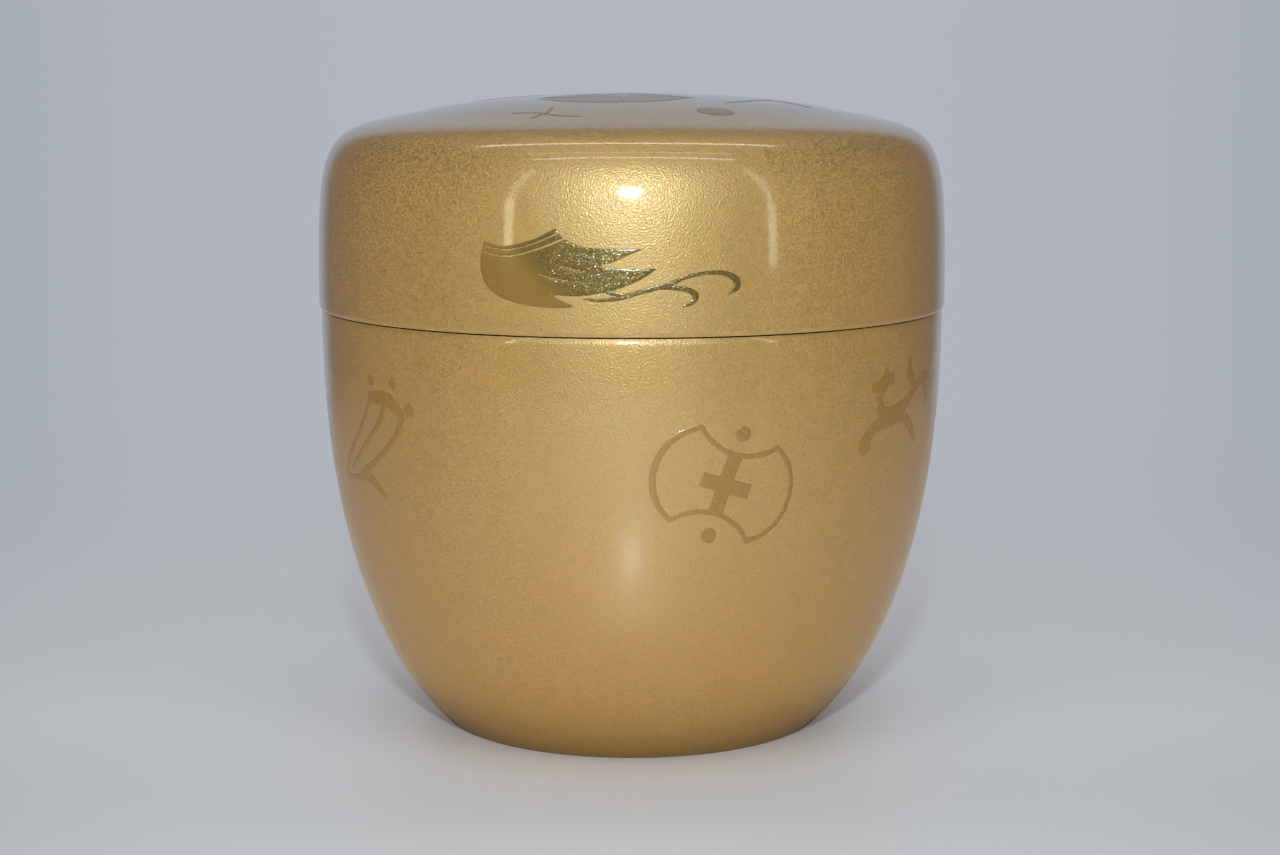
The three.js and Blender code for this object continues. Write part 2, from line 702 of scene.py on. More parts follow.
def turned(name: str, outline: np.ndarray) -> bpy.types.Object:
    """Turns an outline about the upright axis into a closed piece with smooth shading.

    Args:
        name: the piece's name.
        outline: rows of radius and height that start and end on the axis, or that close on themselves.

    Returns:
        The piece.
    """
    on_axis = outline[:, 0] < ON_AXIS
    angle = np.linspace(0, 2 * math.pi, TURN_STEPS, endpoint=False)
    vertices: list[tuple[float, float, float]] = []
    rings: list[np.ndarray] = []
    for (radius, height), pole in zip(outline, on_axis):
        start = len(vertices)
        if pole:
            vertices.append((0.0, 0.0, height))
            rings.append(np.full(TURN_STEPS, start))
        else:
            vertices.extend(zip(radius * np.cos(angle), radius * np.sin(angle), np.full(TURN_STEPS, height)))
            rings.append(np.arange(start, start + TURN_STEPS))
    pairs = list(zip(rings, rings[1:]))
    if not on_axis.any():
        pairs.append((rings[-1], rings[0]))
    faces = []
    for low, high in pairs:
        for quad in np.stack([low, np.roll(low, -1), np.roll(high, -1), high], 1).tolist():
            faces.append(list(dict.fromkeys(quad)))
    return new_piece(name, vertices, faces)


def new_piece(name: str, vertices: Sequence[Any], faces: Sequence[Any]) -> bpy.types.Object:
    """Makes a smooth-shaded mesh object in the scene.

    Args:
        name: the piece's name.
        vertices: the corners, in metres.
        faces: the corner numbers of each face.

    Returns:
        The piece.
    """
    mesh = bpy.data.meshes.new(name)
    mesh.from_pydata(vertices, [], faces)
    mesh.polygons.foreach_set("use_smooth", np.ones(len(mesh.polygons), bool))
    mesh.set_sharp_from_angle(angle=SHARP_ANGLE)
    mesh.update()
    piece = bpy.data.objects.new(name, mesh)
    bpy.context.scene.collection.objects.link(piece)
    return piece


def flat_oval(name: str, half_width: float, half_length: float, corners: int) -> bpy.types.Object:
    """Makes a flat oval that faces up, about the origin.

    Args:
        name: the piece's name.
        half_width: how far it reaches along x.
        half_length: how far it reaches along y.
        corners: how many corners its rim has.

    Returns:
        The piece.
    """
    angle = np.linspace(0, 2 * math.pi, corners, endpoint=False)
    rim = [(half_width * math.cos(a), half_length * math.sin(a), 0.0) for a in angle]
    return new_piece(name, rim, [list(range(corners))])


def dress(piece: bpy.types.Object, material: bpy.types.Material, slot: Slot, body: Body, *nodes: str) -> None:
    """Gives a piece its finish, its body and the frame's nodes that it stands for.

    Args:
        piece: the piece.
        material: its finish.
        slot: the record's slot that the finish stands for; not used.
        body: the body that it moves with.
        nodes: the frame's nodes that it replaces.
    """
    piece.data.materials.append(material)
    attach(piece, body.value)
    if nodes:
        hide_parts(*nodes)
    log.info("%s rides on %s", piece.name, body.value)


# Drawing in relief


class Shape:
    """A flat figure, known by how far each point is from its edge: negative inside."""

    def distance(self, at: np.ndarray) -> np.ndarray:
        """Signed distance of each row of at from the edge."""
        raise NotImplementedError

    def reach(self) -> tuple[np.ndarray, np.ndarray]:
        """Lowest and highest corner of the figure."""
        raise NotImplementedError

    def __sub__(self, other: "Shape") -> "Shape":
        """This figure without the other."""
        return Without(self, other)


@dataclass(frozen=True)
class Joined(Shape):
    """Two figures as one."""

    first: Shape
    second: Shape

    def distance(self, at: np.ndarray) -> np.ndarray:
        """Signed distance from the nearer edge."""
        return np.minimum(self.first.distance(at), self.second.distance(at))

    def reach(self) -> tuple[np.ndarray, np.ndarray]:
        """Corners round both."""
        (low_a, high_a), (low_b, high_b) = self.first.reach(), self.second.reach()
        return np.minimum(low_a, low_b), np.maximum(high_a, high_b)


@dataclass(frozen=True)
class Without(Shape):
    """A figure with another one cut out of it."""

    whole: Shape
    cut: Shape

    def distance(self, at: np.ndarray) -> np.ndarray:
        """Signed distance, outside where the cut is."""
        return np.maximum(self.whole.distance(at), -self.cut.distance(at))

    def reach(self) -> tuple[np.ndarray, np.ndarray]:
        """Corners of the whole figure."""
        return self.whole.reach()


@dataclass(frozen=True)
class Grown(Shape):
    """A figure with its edge moved outwards."""

    figure: Shape
    by: float

    def distance(self, at: np.ndarray) -> np.ndarray:
        """Signed distance from the moved edge."""
        return self.figure.distance(at) - self.by

    def reach(self) -> tuple[np.ndarray, np.ndarray]:
        """Corners round the grown figure."""
        low, high = self.figure.reach()
        return low - self.by, high + self.by


@dataclass(frozen=True)
class Disc(Shape):
    """A round dot."""

    x: float
    y: float
    radius: float

    def distance(self, at: np.ndarray) -> np.ndarray:
        """Signed distance from the circle."""
        return np.hypot(at[:, 0] - self.x, at[:, 1] - self.y) - self.radius

    def reach(self) -> tuple[np.ndarray, np.ndarray]:
        """Corners round the circle."""
        centre = np.array([self.x, self.y])
        return centre - self.radius, centre + self.radius


def spline(rows: Sequence[Sequence[float]], steps: int = 7) -> np.ndarray:
    """A smooth run through every row, straight where there are only two.

    Args:
        rows: places, with a width where there is a third number.
        steps: how many steps there are from one row to the next.

    Returns:
        The finer rows.
    """
    knots = np.array(rows, float)
    if len(knots) < 3:
        return knots
    before = np.vstack([2 * knots[0] - knots[1], knots, 2 * knots[-1] - knots[-2]])
    t = np.linspace(0, 1, steps, endpoint=False)[:, None]
    runs = []
    for a, b, c, d in zip(before, before[1:], before[2:], before[3:]):
        runs.append(0.5 * (2 * b + (c - a) * t + (2 * a - 5 * b + 4 * c - d) * t ** 2
                           + (3 * b - a - 3 * c + d) * t ** 3))
    return np.vstack([*runs, knots[-1:]])


DEGREES_PER_STEP = 6


def arc(x: float, y: float, radius: float, start: float, end: float, width: float) -> np.ndarray:
    """A stroke along part of a circle.

    Args:
        x: its centre.
        y: its centre.
        radius: its radius.
        start: the angle it starts at, in degrees.
        end: the angle it ends at.
        width: the stroke's width.

    Returns:
        Rows of x, y and width.
    """
    angle = np.radians(np.linspace(start, end, round(abs(end - start) / DEGREES_PER_STEP)))
    return np.stack([x + radius * np.cos(angle), y + radius * np.sin(angle), np.full(len(angle), width)], 1)


def from_segments(at: np.ndarray, path: np.ndarray) -> tuple[np.ndarray, np.ndarray]:
    """How far points are from each stretch of a path.

    Args:
        at: rows of x and y.
        path: rows of x and y, joined in order.

    Returns:
        Distances of points by stretches, and the share of the way along each stretch.
    """
    start, way = path[:-1], np.diff(path, axis=0)
    long = np.maximum((way ** 2).sum(1), NO_STRETCH)
    rest = at[:, None] - start[None]
    share = np.clip((rest * way).sum(2) / long, 0, 1)
    return np.linalg.norm(rest - share[..., None] * way, axis=2), share


class Area(Shape):
    """A filled figure within smooth runs that meet at corners."""

    def __init__(self, *runs: Sequence[Sequence[float]]) -> None:
        """Joins the runs into one closed path."""
        path = np.vstack([spline(run) for run in runs])
        self.path = np.vstack([path, path[:1]])

    def distance(self, at: np.ndarray) -> np.ndarray:
        """Signed distance from the outline, by counting crossings for inside."""
        near = from_segments(at, self.path)[0].min(1)
        (x0, y0), (x1, y1) = self.path[:-1].T, self.path[1:].T
        across = (y0 > at[:, 1:]) != (y1 > at[:, 1:])
        rise = np.where(y1 == y0, NO_STRETCH, y1 - y0)
        crossing = x0 + (at[:, 1:] - y0) * (x1 - x0) / rise
        inside = (across & (at[:, :1] < crossing)).sum(1) % 2 == 1
        return np.where(inside, -near, near)

    def reach(self) -> tuple[np.ndarray, np.ndarray]:
        """Corners round the outline."""
        return self.path.min(0), self.path.max(0)


class Stroke(Shape):
    """A brush stroke through places that each have their own width."""

    def __init__(self, *rows: Sequence[float]) -> None:
        """Smooths the stroke's middle line and its width."""
        self.rows = spline(rows)

    def distance(self, at: np.ndarray) -> np.ndarray:
        """Signed distance from the stroke's edge."""
        near, share = from_segments(at, self.rows[:, :2])
        wide = self.rows[:-1, 2] + share * np.diff(self.rows[:, 2])
        return (near - wide / 2).min(1)

    def reach(self) -> tuple[np.ndarray, np.ndarray]:
        """Corners round the stroke."""
        wide = self.rows[:, 2].max()
        return self.rows[:, :2].min(0) - wide, self.rows[:, :2].max(0) + wide


def slab(x: float, y: float, wide: float, high: float) -> Area:
    """A rectangle about its middle."""
    left, right, low, high_edge = x - wide / 2, x + wide / 2, y - high / 2, y + high / 2
    return Area([(left, low), (right, low)], [(right, high_edge), (left, high_edge)])


def ring(x: float, y: float, radius: float, width: float) -> Shape:
    """A drawn circle."""
    return Disc(x, y, radius + width / 2) - Disc(x, y, radius - width / 2)


def together(*figures: Shape) -> Shape:
    """All figures as one."""
    return functools.reduce(Joined, figures)


def on_both_sides(draw: Callable[[int], Shape]) -> Shape:
    """A figure that is drawn for the left side, -1, and again for the right side, 1."""
    return together(draw(-1), draw(1))


class Tone(Enum):
    """The golds that the relief is drawn in."""

    POLISHED = "polished"
    DEEP = "deep"
    SOFT = "soft"
    WARM = "warm"
    DARK = "dark"


@dataclass(frozen=True)
class Place:
    """Where a figure lies: how far round from the front and how high, or a point of the crown.

    Attributes:
        azimuth: how far round it is, in degrees.
        height: how high its middle is.
        turn: how far it is turned on the surface, in degrees.
        size: how large it is drawn.
        crown_x: the place of its middle on the crown, if it lies there.
        crown_y: the same, from front to back.
    """

    azimuth: float = 0.0
    height: float = 0.0
    turn: float = 0.0
    size: float = 1.0
    crown_x: float | None = None
    crown_y: float | None = None


class TurnedSide:
    """The outside of a turned piece, as a surface that figures can be laid on."""

    def __init__(self, outline: np.ndarray) -> None:
        """Measures along the outline, which runs from the bottom up."""
        self.outline = outline
        way = np.diff(outline, axis=0)
        self.along = np.concatenate([[0], np.cumsum(np.linalg.norm(way, axis=1))])
        slope = np.gradient(outline, self.along, axis=0)
        self.normal = np.stack([slope[:, 1], -slope[:, 0]], 1)
        self.normal /= np.linalg.norm(self.normal, axis=1)[:, None]

    def lay(self, flat: np.ndarray, lift: np.ndarray, place: Place) -> np.ndarray:
        """Puts points of a flat figure on the surface.

        Args:
            flat: rows of x and y of the figure, in metres.
            lift: how far each point stands above the surface.
            place: where the figure lies.

        Returns:
            Rows of x, y and z.
        """
        turn = math.radians(place.turn)
        x = flat[:, 0] * math.cos(turn) - flat[:, 1] * math.sin(turn)
        y = flat[:, 0] * math.sin(turn) + flat[:, 1] * math.cos(turn)
        if place.crown_x is not None:
            x, y = x + place.crown_x, y + place.crown_y
            radius, azimuth = np.hypot(x, y), np.arctan2(x, -y)
            along = np.interp(radius, self.outline[::-1, 0], self.along[::-1])
        else:
            anchor = np.interp(place.height, self.outline[:, 1], self.along)
            azimuth = math.radians(place.azimuth) + x / np.interp(anchor, self.along, self.outline[:, 0])
            along = anchor + y
        ground = [np.interp(along, self.along, self.outline[:, k]) for k in (0, 1)]
        normal = [np.interp(along, self.along, self.normal[:, k]) for k in (0, 1)]
        radius, height = ground[0] + lift * normal[0], ground[1] + lift * normal[1]
        return np.stack([radius * np.sin(azimuth), -radius * np.cos(azimuth), height], 1)


# A point just outside a figure is walked onto its edge: how many times, over what share of a cell the slope
# is measured, and the least square of a slope that is believed
WALKS = 2
SLOPE_SHARE = 0.05
LEAST_SLOPE = 0.25


@dataclass(frozen=True)
class Relief:
    """How a figure stands out of its ground.

    Attributes:
        lift: how high it stands.
        edge: how wide its rounded edge is.
        cell: how fine its mesh is.
        sink: how far its underside lies below the ground.
        spread: how far its sunken foot reaches beyond the drawn edge.
    """

    lift: float
    edge: float
    cell: float
    sink: float = 0.03 * MM
    spread: float = 0.055 * MM

    def piece(self, name: str, shape: Shape, side: TurnedSide, place: Place) -> bpy.types.Object:
        """Builds a figure as a thin closed piece on a turned surface.

        Args:
            name: the piece's name.
            shape: the figure, in millimetres.
            side: the surface.
            place: where it lies.

        Returns:
            The piece.
        """
        cell = self.cell / MM / place.size
        shape = Grown(shape, self.spread / MM / place.size)
        before, after = 2 * cell, 3 * cell
        across, up = (np.arange(low - before, high + after, cell) for low, high in zip(*shape.reach()))
        grid = np.stack(np.meshgrid(across, up, indexing="ij"), -1).reshape(-1, 2)
        far = shape.distance(grid)
        number = np.arange(len(grid)).reshape(len(across), len(up))
        quads = np.stack([number[:-1, :-1], number[1:, :-1], number[1:, 1:], number[:-1, 1:]], -1)
        quads = quads.reshape(-1, 4)
        quads = quads[(far[quads] < 0).any(1)]
        used = np.unique(quads)
        edge = used[far[used] >= 0]
        grid[edge] = self._onto_edge(shape, grid[edge], cell)
        depth = np.clip(-far[used] * place.size * MM / self.edge, 0, 1)
        lift = np.where(far[used] >= 0, -self.sink, self.lift * np.sqrt(1 - (1 - depth) ** 2))
        top = side.lay(grid[used] * MM * place.size, lift, place)
        inner = far[used] < 0
        bottom = side.lay(grid[used[inner]] * MM * place.size, np.full(inner.sum(), -self.sink), place)
        to_top = np.full(len(grid), -1)
        to_top[used] = np.arange(len(used))
        to_bottom = to_top.copy()
        to_bottom[used[inner]] = len(used) + np.arange(inner.sum())
        faces = np.vstack([to_top[quads], to_bottom[quads][:, ::-1]])
        return new_piece(name, np.vstack([top, bottom]).tolist(), faces.tolist())

    @staticmethod
    def _onto_edge(shape: Shape, at: np.ndarray, cell: float) -> np.ndarray:
        """Moves points just outside a figure onto its edge.

        Args:
            shape: the figure.
            at: rows of x and y.
            cell: the mesh's spacing.

        Returns:
            The moved rows.
        """
        small = cell * SLOPE_SHARE
        for _ in range(WALKS):
            far = shape.distance(at)
            slope = np.stack([
                shape.distance(at + (small, 0)) - shape.distance(at - (small, 0)),
                shape.distance(at + (0, small)) - shape.distance(at - (0, small)),
            ], 1) / (2 * small)
            steep = np.maximum((slope ** 2).sum(1), LEAST_SLOPE)
            at = at - slope * (far / steep)[:, None]
        return at


# The treasures: each figure is drawn about its own middle, in millimetres


def cloak() -> Shape:
    """The cloak of invisibility: a feathered cape with a banded collar."""
    cape = Area(
        [(-8.66, 2.47), (-7.09, 2.10), (-5.66, 2.20), (-3.47, 2.84), (-1.54, 3.82)],
        [(-1.54, 3.82), (-0.77, 2.97), (0.37, 2.44), (1.50, 2.10), (4.12, 1.97), (6.55, 1.97)],
        [(6.55, 1.97), (5.23, 1.40), (4.12, 0.88), (2.44, 0.42)],
        [(2.44, 0.42), (4.12, 0.17), (5.97, 0.08), (7.98, 0.17)],
        [(7.98, 0.17), (6.90, -0.58), (5.60, -1.24), (4.12, -1.80), (2.25, -2.20), (0.37, -2.42),
         (-1.76, -2.30)],
        [(-1.76, -2.30), (-0.96, -2.85), (0.36, -3.42)],
        [(0.36, -3.42), (-1.53, -3.55), (-4.46, -3.36), (-6.88, -2.68), (-8.33, -1.69), (-8.97, -0.30),
         (-9.01, 0.72), (-8.87, 1.68), (-8.66, 2.47)],
    )
    lines = together(
        Stroke((-9.2, 2.12, 0.20), (-7.08, 1.78, 0.18), (-5.55, 1.84, 0.18), (-3.47, 2.44, 0.18),
               (-1.1, 3.46, 0.20)),
        Stroke((-9.3, 1.58, 0.17), (-7.08, 1.18, 0.20), (-5.45, 1.26, 0.22), (-3.08, 1.94, 0.24),
               (-0.5, 2.96, 0.26)),
        Stroke((-4.25, -0.08, 0.06), (-2.68, -0.58, 0.17), (-1.14, -0.90, 0.18), (0.60, -1.06, 0.12),
               (2.60, -1.10, 0.05)),
        Stroke((-1.80, 0.78, 0.05), (-0.76, 0.32, 0.15), (0.60, -0.02, 0.16), (1.90, -0.22, 0.10),
               (3.0, -0.40, 0.04)),
        Stroke((-0.25, 1.72, 0.05), (0.60, 1.62, 0.13), (1.60, 1.42, 0.12), (2.80, 1.18, 0.04)),
    )
    return cape - lines


def cloak_cords() -> Shape:
    """The cloak's tie cords, trailing to the right."""
    return together(
        Stroke((1.20, -2.64, 0.12), (2.44, -2.82, 0.22), (3.74, -2.70, 0.34), (4.86, -2.50, 0.38),
               (6.34, -2.05, 0.40), (7.83, -1.65, 0.42), (8.94, -1.36, 0.42), (10.44, -0.78, 0.30),
               (11.58, -0.46, 0.28),
               (12.72, -0.28, 0.30), (13.88, -0.28, 0.38), (14.85, -0.52, 0.50), (15.50, -0.95, 0.62),
               (15.72, -1.42, 0.58), (15.48, -1.86, 0.40), (14.90, -2.22, 0.14)),
        Stroke((8.20, -1.62, 0.30), (9.69, -1.66, 0.36), (10.82, -1.85, 0.46), (11.50, -2.20, 0.56),
               (11.60, -2.62, 0.54), (11.22, -3.10, 0.34), (10.50, -3.38, 0.12)),
        Stroke((3.32, -2.04, 0.28), (4.11, -2.18, 0.30), (5.05, -2.38, 0.24)),
    )


def counterweight() -> Shape:
    """The counterweight of a money changer's scales: a round with two bites, a bar and a cross bar."""
    line = 0.46

    def side_line(side: int) -> Shape:
        """The round's outline on one side, which swells towards its middle."""
        wide = 0.44 if side > 0 else 0.62
        near = (line + wide) / 2
        return Stroke((side * 4.10, 4.68, line), (side * 5.72, 3.45, near), (side * 6.75, 1.75, wide),
                      (side * 7.06, -0.10, wide), (side * 6.72, -2.00, wide), (side * 5.62, -3.75, near),
                      (side * 4.10, -4.85, line))

    def bite(end: int) -> Shape:
        """The bite's outline at one end."""
        return Stroke((-4.10, end * 4.72, line), (-2.85, end * 3.78, line), (-1.00, end * 3.10, line),
                      (1.00, end * 3.10, line), (2.85, end * 3.78, line), (4.10, end * 4.72, line))

    return together(on_both_sides(side_line), on_both_sides(bite), slab(0, 0, 1.50, 6.2),
                    slab(0.1, -0.1, 5.1, 1.40), Disc(0.17, 5.10, 0.74), Disc(0.15, -5.25, 0.74))


def clove() -> Shape:
    """The clove: a ribbed bud with a thick cap, a stalk and three grains."""
    return together(
        Disc(-1.83, 4.50, 0.60), Disc(1.81, 4.50, 0.62), Disc(4.05, 2.07, 0.68),
        Stroke((-2.00, 2.85, 1.1), (0.20, 2.90, 1.5), (1.70, 2.45, 1.5), (2.90, 1.60, 1.0)),
        Stroke((-2.20, 2.50, 0.55), (-3.64, 0.34, 0.52), (-5.41, -1.55, 0.52), (-7.74, -3.60, 0.55),
               (-9.07, -5.13, 0.50), (-9.40, -6.10, 0.55)),
        Stroke((0.24, 2.20, 0.60), (-0.80, 0.34, 0.56), (-2.98, -1.55, 0.54), (-5.62, -3.60, 0.50),
               (-7.60, -5.10, 0.36)),
        Stroke((2.75, 1.70, 1.15), (2.80, 0.86, 0.95), (2.39, 0.00, 0.75), (1.28, -1.20, 0.66),
               (-0.40, -2.58, 0.64), (-2.21, -3.77, 0.68), (-4.29, -4.96, 0.85), (-5.04, -5.47, 1.05)),
        Stroke((-9.44, -6.20, 0.60), (-7.07, -5.97, 0.55), (-5.00, -5.60, 0.90)),
        Stroke((-5.00, -5.40, 0.90), (-2.95, -5.85, 0.95), (-2.14, -6.48, 0.90), (-1.16, -7.15, 0.70)),
    )


def coral() -> Shape:
    """A branch of coral."""
    return together(
        Stroke((-0.70, 4.30, 0.60), (-0.75, 3.60, 1.30), (-1.25, 2.95, 1.50), (-1.60, 2.10, 1.20),
               (-1.55, 0.95, 1.05), (-0.90, 0.05, 1.50), (0.40, -0.35, 2.10), (2.00, 0.00, 1.90),
               (3.50, 0.80, 1.20), (5.00, 1.80, 1.00), (7.14, 2.77, 1.20), (8.94, 2.95, 1.10)),
        Stroke((-1.00, 3.05, 1.10), (-2.50, 2.95, 1.20)), Disc(0.15, 3.45, 0.65),
        Stroke((0.20, -0.50, 1.80), (-1.64, -0.95, 1.30), (-2.95, -1.65, 1.30), (-3.60, -2.60, 1.50)),
        Disc(-3.65, -2.75, 0.95),
        Stroke((3.68, 4.96, 0.90), (3.96, 3.47, 1.20), (5.40, 2.10, 1.00)),
        Stroke((1.90, -0.30, 1.50), (3.31, -0.75, 1.00), (4.74, -1.90, 1.10), (5.88, -3.20, 0.90)),
        Stroke((7.00, 2.70, 0.90), (8.30, 1.50, 0.90), (9.00, 0.30, 0.60)),
    )


def hat() -> Shape:
    """The hat of invisibility, seen a little from above: a wide brim, a ribbed cone and a knob."""
    brim = Area(
        [(-8.6, 1.4), (-6.2, -3.0), (-2.6, -5.3), (1.4, -5.4), (4.6, -3.6), (7.2, 0.2)],
        [(7.2, 0.2), (4.2, -0.45), (0.4, -0.85), (-3.8, -0.25), (-8.6, 1.4)],
    )
    cone = Area(
        [(-8.0, 2.2), (-3.6, 0.1), (0.4, -0.5), (4.0, -0.1), (6.9, 0.9)],
        [(6.9, 0.9), (4.4, 4.6), (1.6, 7.6), (0.3, 8.8)],
        [(0.3, 8.8), (-2.6, 7.3), (-5.4, 5.0), (-8.0, 2.2)],
    )
    ribs = together(*[
        Stroke((x, y, 0.20), ((x + 0.3) / 2, (y + 8.2) / 2, 0.26), (0.25, 8.2, 0.10))
        for x, y in ((-5.6, 0.8), (-2.8, -0.4), (0.2, -0.8), (3.2, -0.4), (5.4, 0.3))
    ])
    return together(brim, cone - ribs, Disc(0.3, 9.7, 0.75))


def mallet() -> Shape:
    """The wish-granting mallet: a banded head on a handle, with a tasselled cord."""
    head = Area(
        [(-5.2, -2.6), (-5.8, 0.0), (-5.2, 2.6)],
        [(-5.2, 2.6), (0.0, 3.1), (5.2, 2.6)],
        [(5.2, 2.6), (5.8, 0.0), (5.2, -2.6)],
        [(5.2, -2.6), (0.0, -3.1), (-5.2, -2.6)],
    )
    bands = on_both_sides(
        lambda side: Stroke((side * 3.6, -3.3, 0.22), (side * 4.1, 0.0, 0.22), (side * 3.6, 3.3, 0.22)))
    mark = ring(0.0, 0.0, 1.7, 0.24)
    return together(head - together(bands, mark), slab(0.0, -6.0, 1.1, 5.0), Disc(0.0, -8.9, 0.85),
                    Stroke((0.7, -8.0, 0.25), (2.6, -7.3, 0.30), (3.9, -8.4, 0.34), (3.4, -9.9, 0.30)),
                    Stroke((3.4, -9.9, 0.30), (3.0, -11.2, 0.90)))


def jewel() -> Shape:
    """The wish-granting jewel with three flames."""
    drop = Area(
        [(0.0, 5.2), (-0.9, 3.4), (-3.2, 1.7), (-3.9, -1.0), (-2.4, -3.5), (0.0, -4.2)],
        [(0.0, -4.2), (2.4, -3.5), (3.9, -1.0), (3.2, 1.7), (0.9, 3.4), (0.0, 5.2)],
    )
    lines = together(
        Stroke(*arc(0.0, -0.9, 2.6, 150, 390, 0.26)),
        Stroke((-1.6, 1.4, 0.24), (0.0, 2.2, 0.26), (1.6, 1.4, 0.24)),
    )
    flames = on_both_sides(lambda side: Stroke(
        (side * 4.6, -2.6, 0.9), (side * 5.4, 0.0, 1.0), (side * 4.4, 2.2, 0.6), (side * 5.3, 4.4, 0.15)))
    return together(drop - lines, flames, Stroke((0.0, 6.1, 0.7), (0.5, 7.2, 0.5), (0.1, 8.4, 0.12)))


def seven_treasures() -> Shape:
    """The seven treasures: a ring with four petals of crossing rings."""
    radius, line = 5.2, 0.42
    tip, waist = 1.25, 0.45
    petals = [
        Stroke(*arc(x * radius, y * radius, radius, middle - 45, middle + 45, line))
        for x, y, middle in ((1, 1, 225), (-1, 1, 315), (-1, -1, 45), (1, -1, 135))
    ]
    star = Area(
        *[[(tip * math.cos(math.radians(a)), tip * math.sin(math.radians(a))),
           (waist * math.cos(math.radians(a + 45)), waist * math.sin(math.radians(a + 45)))]
          for a in (45, 135, 225, 315)]
    )
    return together(ring(0.0, 0.0, radius, line), *petals, star)


def scroll() -> Shape:
    """A rolled scroll with its rods and a bow of cord."""
    roll = Area(
        [(-5.6, -1.7), (-5.9, 0.0), (-5.6, 1.7)],
        [(-5.6, 1.7), (5.6, 1.7)],
        [(5.6, 1.7), (5.9, 0.0), (5.6, -1.7)],
        [(5.6, -1.7), (-5.6, -1.7)],
    )
    bands = together(*[
        Stroke((x, -2.0, 0.22), (x + 0.2, 0.0, 0.22), (x, 2.0, 0.22)) for x in (-4.4, -0.9, 0.9, 4.4)
    ])
    bow = on_both_sides(lambda side: together(
        Stroke((0.0, 0.0, 0.45), (side * 1.9, 2.9, 0.40), (side * 3.2, 3.0, 0.34), (side * 2.4, 1.9, 0.30)),
        Stroke((0.0, -0.4, 0.40), (side * 1.2, -2.9, 0.40), (side * 2.2, -4.2, 0.60)),
    ))
    return together(roll - bands, Disc(-6.6, 0.0, 0.62), Disc(6.6, 0.0, 0.62), bow)


def storehouse_key() -> Shape:
    """The key of the treasure house, bent square, with a ring."""
    line = 0.75
    corners = [(-5.6, 2.2), (-5.6, -1.6), (-2.4, -1.6), (-2.4, 1.4), (6.4, 1.4)]
    bars = [Stroke((*a, line), (*b, line)) for a, b in zip(corners, corners[1:])]
    return together(*bars, Stroke((-5.6, 2.2, line), (-4.2, 2.2, line)), ring(7.5, 1.4, 1.1, 0.45),
                    Stroke((8.2, 0.5, 0.28), (8.6, -1.2, 0.34), (7.6, -2.8, 0.30), (7.9, -4.0, 0.75)))


def dot() -> Shape:
    """One grain."""
    return Disc(0.0, 0.0, 1.85)


def twig() -> Shape:
    """A twig of three strokes, drawn where it lies on the crown."""
    return together(
        Stroke((-2.2, -2.5, 0.40), (-0.9, -0.7, 0.60), (0.0, 1.0, 0.60), (0.3, 2.9, 0.55), (0.4, 4.6, 0.35)),
        Stroke((-0.2, -0.7, 0.50), (2.0, -2.3, 0.60), (4.6, -3.4, 0.40)),
        Stroke((-0.4, 0.2, 0.45), (-2.8, 1.3, 0.50), (-4.8, 2.1, 0.35)),
    )


def ribbon() -> Shape:
    """A cord that arches and falls."""
    return Stroke((-4.6, -5.0, 0.35), (-2.4, -1.5, 0.55), (0.0, 3.1, 0.70), (2.0, 2.9, 0.75),
                  (4.1, 0.3, 0.60))


@dataclass(frozen=True)
class Ornament:
    """One treasure on the caddy."""

    name: str
    figure: Callable[[], Shape]
    place: Place
    tone: Tone
    relief: Relief


class Goldsmith:
    """Lays the ornaments on a turned side and gives them their golds."""

    def __init__(self, golds: dict[Tone, bpy.types.Material]) -> None:
        """Keeps the golds."""
        self.golds = golds

    def lay(self, ornaments: Sequence[Ornament], side: TurnedSide, body: Body) -> None:
        """Builds each ornament.

        Args:
            ornaments: the ornaments of one piece.
            side: that piece's outside.
            body: the body that it moves with.
        """
        for ornament in ornaments:
            piece = ornament.relief.piece(ornament.name, ornament.figure(), side, ornament.place)
            dress(piece, self.golds[ornament.tone], Slot.GOLD, body)


# The caddy


@dataclass(frozen=True)
class Walls:
    """Sizes that body and lid share.

    Attributes:
        lacquer_coat: how thick the coats of black lacquer are.
        ground_inset: how far the ground lies inside the frame's box, to leave room for the relief.
        edge_ease: how far from a corner its eased edge starts.
        arris_depth: how far the sides draw in at the joint.
        shadow_gap: how far each of the joint's faces stands back.
        shadow_gap_width: how wide that step is.
        black_margin: how far the black on the joint's faces stays inside the drawn-in edge.
        collar_headroom: how far the lid's straight skirt goes on above the collar.
        bend_steps: how many steps an outer bend has.
        short_bend_steps: how many steps an inner bend has.
    """

    lacquer_coat: float = 0.4 * MM
    ground_inset: float = 0.08 * MM
    edge_ease: float = 0.22 * MM
    arris_depth: float = 0.15 * MM
    shadow_gap: float = 0.08 * MM
    shadow_gap_width: float = 1.1 * MM
    black_margin: float = 0.08 * MM
    collar_headroom: float = 1.5 * MM
    bend_steps: int = 110
    short_bend_steps: int = 60


